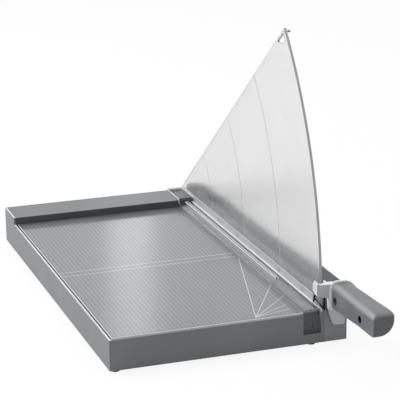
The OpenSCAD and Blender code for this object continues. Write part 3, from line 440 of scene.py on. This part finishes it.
# Acrylic sheet: clear under a light frost, and milky grey where it is sawn
CLEAR_SHEET = clear_plastic("frosted_acrylic", "#fafafa", 0.22, 1.49, haze=0.06)
SHEET_EDGE = clear_plastic("sawn_acrylic_edge", "#c3c6c8", 0.4, 1.49, haze=0.85)
# Polycarbonate: clear, milky on the guard foot's cheek, tinted grey on the hook and the plate as painted
# shade, and nearly white as a painted highlight along some edges. The IOR of its clear parts is below the
# real 1.58, to match the photograph
CLEAR_STRIP = clear_plastic("clear_polycarbonate", "#fbfbfb", 0.03, 1.3, gloss=0.15)
CHEEK_STRIP = clear_plastic("milky_polycarbonate", "#e2e4e5", 0.2, 1.49, haze=0.6, gloss=0.2)
STRIP_PAINTED_SHADE = clear_plastic("polycarbonate_painted_shade", "#d6d9da", 0.05, 1.14, gloss=0.2)
STRIP_PAINTED_HIGHLIGHT = clear_plastic("strip_painted_highlight", "#fdfdfe", 0.15, 1.49, haze=0.96)
# Dark satin lacquer on the cast arm
ARM_COAT = powder_coat("arm_lacquer", "#424548", "#484b4e", roughness=0.45, gloss=0.2)
# ABS: the pale shoe and a paler copy of it that is painted light on its top and left faces and on its lip,
# the grey grip, and the stop at the sail's tip
PALE_ABS = moulded_plastic("pale_abs", "#cacdcf", "#d0d3d5", 0.36)
PALE_ABS_PAINTED_LIGHT = moulded_plastic("pale_abs_painted_light", "#f6f7f8", "#fafbfb", 0.3)
# The grip's paler upper left round is a painted highlight, and its darker end is painted shade
GRIP_ABS = plastic_with_painted_light("grip_abs", "#7a7d80", "#818487", "#a3a5a7", "#5f6265", 0.36)
STOP_ABS = moulded_plastic("grey_abs", "#8b8e90", "#939698", 0.45)
# Dull yellow bronze of the washer and the bush
BRONZE = turned_metal("sintered_bronze", "#8f6f3e", "#a98652", 0.45)


def dress_hardware():
    """Screws, pins, springs, plates and feet keep their CAD shape"""
    dress(["lower_knife", "blade"], GROUND_STEEL)
    dress(["cross_members", "bottom_cover", "pivot_bracket", "pivot_nut", "disc_springs", "pivot_bolt",
           "clamp_hinge_pin", "clamp_spring", "blade_screws", "handle_tang", "guard_rivets"], ZINC_STEEL)
    dress(["knife_screws", "bottom_screws", "foot_screws", "channel_screws", "rail_screws", "bracket_screws",
           "shoe_screws", "tang_screws", "grip_screws", "guard_finger"], BLACK_STEEL)
    dress(["rubber_feet", "arm_bumper"], RUBBER)
    dress(["thrust_washer", "pivot_bush"], BRONZE)
    dress(["apex_stop"], STOP_ABS)


# Left wall, in mm: its lip is this wide, and only what lies above the height is cut and painted
LIP_WIDTH = 2.6
LIP_ABOVE = 30


def dress_base():
    """Painted tray, rail and channel with the printed bed; the top of the left wall's lip takes a painted
    highlight
    """
    tray = softened("base_tray", BASE_COAT, 0.5, cuts=[(X, LIP_WIDTH, LIP_ABOVE, math.inf)])
    # The lip's top faces take a paler coat: a painted highlight
    paint_faces(tray, LIP_PAINTED_HIGHLIGHT, lambda at, out: out.z > 0.3 and at.x < LIP_WIDTH and at.z > LIP_ABOVE)
    softened("side_channel", SIDE_COAT, 0.7)
    rail = softened("rear_rail", BASE_COAT, 0.6)
    paint_faces(rail, DARK_TRIM, lambda at, out: out.y < -0.6)
    softened("bed_plate", BED_PRINT, 0.35)
    softened("edge_strip", BASE_COAT, 0.3)


# The guard foot's top takes a painted highlight, which ends here, in mm
FOOT_TOP_RIGHT = 252


def dress_guard():
    """Frosted sheet whose sawn edges look milky, and the foot that carries it"""
    sail = softened("guard_sail", CLEAR_SHEET, 0.3, segments=1)
    paint_faces(sail, SHEET_EDGE, lambda at, out: abs(out.x) < 0.5 and out.y < 0)
    # Edge and groove faces that face back take a painted highlight in place of the milky grey
    paint_faces(sail, STRIP_PAINTED_HIGHLIGHT, lambda at, out: abs(out.x) < 0.5 and out.y > 0 and out.z < 0.3)
    foot = softened("guard_foot", CLEAR_STRIP, 0.3, segments=1)
    paint_faces(foot, CHEEK_STRIP, lambda at, out: out.x < -0.5)
    # The foot's top takes a painted highlight
    paint_faces(foot, STRIP_PAINTED_HIGHLIGHT, lambda at, out: out.z > 0.5 and at.x < FOOT_TOP_RIGHT)
    for piece in (sail, foot):
        piece.visible_shadow = False


# Clamp strip, in mm: the right side of its rib, the height that the rib starts at, the height above which its
# top is cut, and the widths of the painted highlight bands on the rib and along the strip's right side
RIB_RIGHT, RIB_ABOVE = 242.1, 41.5
TOP_ABOVE = 38
RIB_BAND, SIDE_BAND = 1.3, 1.5
# Slack with which the faces on the rib's right side are found
RIB_SLACK = 0.2
# The plate over the rail starts this far in front of the rail. The hook at the front and its brow end here
PLATE_LEAD = 2
HOOK_BACK, BROW_BACK = 8, 6


def dress_clamp():
    """Clear strip over the bed's edge, with painted highlights on its rib, its right side, its plate and the
    hook's brow
    """
    right = to_mm(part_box("clamp_bar")[1]).x
    rail_front = (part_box("rear_rail")[0] - CORNER).y / MM
    rail_top = (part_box("rear_rail")[1] - CORNER).z / MM
    plate_front = rail_front - PLATE_LEAD
    strip = softened("clamp_bar", CLEAR_STRIP, 0.25, segments=1, cuts=[
        (Y, plate_front, 0, math.inf),
        (X, RIB_RIGHT - RIB_BAND, TOP_ABOVE, rail_front),
        (X, right - SIDE_BAND, TOP_ABOVE, rail_front)])

    def bright(at, out):
        """The faces of the plate, the rib, the right side and the hook's brow that take a painted highlight
        """
        if at.y >= plate_front:
            return at.z > rail_top and (out.x < -0.5 or out.y < -0.5)
        in_band = RIB_RIGHT - RIB_BAND < at.x < RIB_RIGHT + RIB_SLACK
        on_rib = at.z > RIB_ABOVE and (out.x < -0.5 or in_band)
        on_side = out.z > 0.5 and at.x > right - SIDE_BAND
        on_brow = at.y < BROW_BACK and out.y < -0.3 and out.z > 0.3
        return on_rib or on_side or on_brow

    # The hook and the plate over the rail take a grey tint: on the hook it is painted shade of the recess
    # behind it, and it makes the plate darker
    paint_faces(strip, STRIP_PAINTED_SHADE, lambda at, out: at.y < HOOK_BACK or at.y > plate_front)
    # The bright faces are painted highlights
    paint_faces(strip, STRIP_PAINTED_HIGHLIGHT, bright)
    strip.visible_shadow = False


# The grip's root, in mm: it swells to the left and in height from the shoe's collar on, by these shares
COLLAR_FRONT = -9.4
SWELL_END = -75.0
SWELL_WIDE, SWELL_TALL = 0.089, 0.13
# The skin steps up within this length of the collar, and is cut across so that the swelling is smooth
SWELL_STEP = 0.2
SWELL_CUTS = (COLLAR_FRONT, COLLAR_FRONT - SWELL_STEP, -30.0, -45.0, -60.0, SWELL_END)
# The well of the first grip screw, by its place along the grip and its height; its rim swells with the skin
WELL_MIDDLE = (-19.1, 55.2)
WELL_RADIUS = 4.8
WELL_RIM = 0.5

# The box of the shoe's lip round the grip's root, in mm, the width of its rounds, and the angle in degrees
# from which its edges are rounded
LIP_LOW = Vector((255.6, -12.2, 42.6))
LIP_HIGH = Vector((289.3, COLLAR_FRONT + 0.2, 76.0))
LIP_ROUND = 0.9
LIP_ROUNDED_FROM = 60
# The grip's skin is further than this from its middle line, in mm, and the tang's hole is nearer
SKIN_REACH = 12


def grip_copy(cuts):
    """The grip's skin as a bmesh, cut across at some places in mm along its length"""
    bm = bmesh.new()
    bm.from_mesh(frame["nodes"]["handle_grip"].data)
    bmesh.ops.remove_doubles(bm, verts=bm.verts, dist=SAME_POINT)
    for place in cuts:
        bmesh.ops.bisect_plane(bm, geom=bm.verts[:] + bm.edges[:] + bm.faces[:],
                               plane_co=CORNER + Vector((0, place * MM, 0)), plane_no=(0, 1, 0))
    return bm


def finish_grip():
    """The grip with its root as full as it is seen; the floor of the screw's well stays where it is"""
    low, high = [to_mm(corner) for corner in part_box("handle_grip")]
    middle = (low.z + high.z) / 2
    bm = grip_copy(SWELL_CUTS)
    for vert in bm.verts:
        at = to_mm(vert.co)
        from_well = math.hypot(at.y - WELL_MIDDLE[0], at.z - WELL_MIDDLE[1])
        in_well = from_well < WELL_RADIUS and at.x > low.x + WELL_RIM
        if at.y > COLLAR_FRONT - SWELL_STEP / 2 or at.y < SWELL_END or in_well:
            continue
        share = (at.y - SWELL_END) / (COLLAR_FRONT - SWELL_END)
        at.x = high.x + (at.x - high.x) * (1 + SWELL_WIDE * share)
        at.z = middle + (at.z - middle) * (1 + SWELL_TALL * share)
        vert.co = CORNER + at * MM
    grip = make_piece("handle_grip_finished", bm, "arm", GRIP_ABS)
    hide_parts("handle_grip")


def collar_outline(middle):
    """The points of the grip's skin at the collar, in mm, once round its middle line"""
    section = grip_copy((COLLAR_FRONT,))
    places = [to_mm(vert.co) for vert in section.verts]
    section.free()
    # The points of the tang's hole inside the skin are left out
    places = [at for at in places if abs(at.y - COLLAR_FRONT) < 0.01
              and math.hypot(at.x - middle.x, at.z - middle.z) > SKIN_REACH]
    return sorted(places, key=lambda at: math.atan2(at.z - middle.z, at.x - middle.x))


def collar_lip():
    """The shoe's rounded lip round the grip's root: the grip's own section, a little larger and 3 mm deep"""
    low, high = [to_mm(corner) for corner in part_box("handle_grip")]
    bm = bmesh.new()
    for at in collar_outline((low + high) / 2):
        at.x = LIP_HIGH.x + (at.x - high.x) * (LIP_HIGH.x - LIP_LOW.x) / (high.x - low.x)
        at.z = LIP_LOW.z + (at.z - low.z) * (LIP_HIGH.z - LIP_LOW.z) / (high.z - low.z)
        at.y = LIP_HIGH.y
        # A point that lies within 0.1 mm of the last one is left out
        if not bm.verts or (bm.verts[-1].co - CORNER - at * MM).length > 0.1 * MM:
            bm.verts.new(CORNER + at * MM)
            bm.verts.ensure_lookup_table()
    face = bm.faces.new(bm.verts)
    raised = bmesh.ops.extrude_face_region(bm, geom=[face], use_keep_orig=True)
    front = [item for item in raised["geom"] if isinstance(item, bmesh.types.BMVert)]
    bmesh.ops.translate(bm, verts=front, vec=(0, (LIP_LOW.y - LIP_HIGH.y) * MM, 0))
    bmesh.ops.recalc_face_normals(bm, faces=bm.faces)
    bevel(bm, sharp_edges(bm, LIP_ROUNDED_FROM), LIP_ROUND * MM, segments=3)
    # The whole lip takes the paler plastic: painted light
    make_piece("shoe_collar_lip", bm, "arm", PALE_ABS_PAINTED_LIGHT)


# The shoe's top and left faces that take painted light lie above this height, in mm
SHOE_BRIGHT_ABOVE = 40


def dress_arm():
    """Cast arm under lacquer, the pale shoe with its lip, and the grip"""
    softened("arm_beam", ARM_COAT, 0.4)
    shoe = softened("guard_shoe", PALE_ABS, 0.5)
    # The shoe's top and left faces take the paler plastic: painted light
    paint_faces(shoe, PALE_ABS_PAINTED_LIGHT,
                lambda at, out: at.z > SHOE_BRIGHT_ABOVE and (out.z > 0.35 or out.x < -0.5))
    finish_grip()
    collar_lip()


dress_hardware()
dress_base()
dress_guard()
dress_clamp()
dress_arm()


# How white the studio is in mirror images, between its light on the object and pure white
MIRRORED_SHARE = 0.66
# How strong the surroundings' light on the object is, where 1 is pure white
SKY_ON_OBJECT = 0.44


def seen_directly(tree):
    """1 for the camera's own rays and those that pass through the clear pieces, less for mirrored ones"""
    path = add_node(tree, "ShaderNodeLightPath")
    mirrored = product(tree, path.outputs["Is Glossy Ray"], MIRRORED_SHARE)
    # Light that another surface has already sent on stays weak when it passes a clear piece
    bounces = add_node(tree, "ShaderNodeMath",
                       {0: path.outputs["Diffuse Depth"], 1: path.outputs["Glossy Depth"]})
    straight = add_node(tree, "ShaderNodeMath", {0: bounces.outputs[0], 1: 0.5}, operation="LESS_THAN")
    passed = product(tree, path.outputs["Is Transmission Ray"], straight.outputs[0])
    return highest(tree, highest(tree, path.outputs["Is Camera Ray"], passed), mirrored)


def floor_material():
    """White floor: nearly white by itself where it is seen, with some shading so that the shadow shows"""
    made = bpy.data.materials.new("white_floor")
    made.use_nodes = True
    tree = made.node_tree
    tree.nodes.clear()
    seen = seen_directly(tree)
    glow = add_node(tree, "ShaderNodeEmission", {"Color": linear("#ffffff"), "Strength": 0.89})
    shading = add_node(tree, "ShaderNodeBsdfDiffuse", {"Color": linear("#626262")})
    shown = add_node(tree, "ShaderNodeAddShader", {0: glow.outputs[0], 1: shading.outputs[0]})
    plain = add_node(tree, "ShaderNodeBsdfDiffuse", {"Color": linear("#dcdcdc")})
    mix = add_node(tree, "ShaderNodeMixShader", {0: seen})
    tree.links.new(plain.outputs[0], mix.inputs[1])
    tree.links.new(shown.outputs[0], mix.inputs[2])
    end_material(tree, mix.outputs[0])
    return made


def stage_floor():
    """The floor that the cutter stands on, 60 m wide"""
    bm = bmesh.new()
    bmesh.ops.create_grid(bm, x_segments=1, y_segments=1, size=30.0)
    mesh = bpy.data.meshes.new("floor")
    bm.to_mesh(mesh)
    bm.free()
    floor = bpy.data.objects.new("floor", mesh)
    bpy.context.scene.collection.objects.link(floor)
    floor.data.materials.append(floor_material())


def studio_world():
    """White surroundings for the camera and for reflections, and a weaker even light on the object"""
    world = bpy.data.worlds.new("studio")
    bpy.context.scene.world = world
    world.use_nodes = True
    tree = world.node_tree
    tree.nodes.clear()
    strength = add_node(tree, "ShaderNodeMapRange",
                        {"Value": seen_directly(tree), "To Min": SKY_ON_OBJECT, "To Max": 1.0})
    sky = add_node(tree, "ShaderNodeBackground",
                   {"Color": linear("#ffffff"), "Strength": strength.outputs["Result"]})
    out = add_node(tree, "ShaderNodeOutputWorld")
    tree.links.new(sky.outputs[0], out.inputs["Surface"])


def soft_box(name, place, aim, width, height, power):
    """A soft light at a place, aimed at a point, in metres and watts"""
    lamp = bpy.data.lights.new(name, "AREA")
    lamp.shape = "RECTANGLE"
    lamp.size = width
    lamp.size_y = height
    lamp.energy = power
    made = bpy.data.objects.new(name, lamp)
    bpy.context.scene.collection.objects.link(made)
    made.location = place
    made.rotation_euler = (Vector(aim) - Vector(place)).to_track_quat("-Z", "Y").to_euler()
    made.visible_camera = False
    made.visible_transmission = False


def studio_camera():
    """The photograph's camera"""
    lens = bpy.data.cameras.new("camera")
    lens.lens = LENS_MM
    lens.sensor_width = SENSOR_MM
    lens.clip_end = 100.0
    made = bpy.data.objects.new("camera", lens)
    bpy.context.scene.collection.objects.link(made)
    turn = (Matrix.Rotation(math.radians(CAMERA_AZIMUTH), 4, "Z")
            @ Matrix.Rotation(math.radians(90 - CAMERA_ELEVATION), 4, "X")
            @ Matrix.Rotation(math.radians(CAMERA_ROLL), 4, "Z"))
    made.matrix_world = Matrix.Translation(CORNER + CAMERA_FROM_CORNER) @ turn
    bpy.context.scene.camera = made


stage_floor()
studio_world()
# Main light from the left and above, a weak one from above, and two behind: a narrow one on the right and a
# broad one on the left
soft_box("key_light", (-2.2, 1.2, 2.2), (0, 0, 0), 1.8, 1.8, 58)
soft_box("top_light", (0.3, 0.6, 2.8), (0, 0, 0), 2.0, 2.0, 14)
soft_box("band_light", (1.09, 3.85, 1.45), (0, 0, 0.03), 0.16, 1.3, 0.8)
soft_box("rim_light", (-1.3, 4.2, 1.5), (0, 0, 0.05), 1.0, 1.0, 1.5)
studio_camera()
bpy.context.scene.view_settings.view_transform = "Standard"
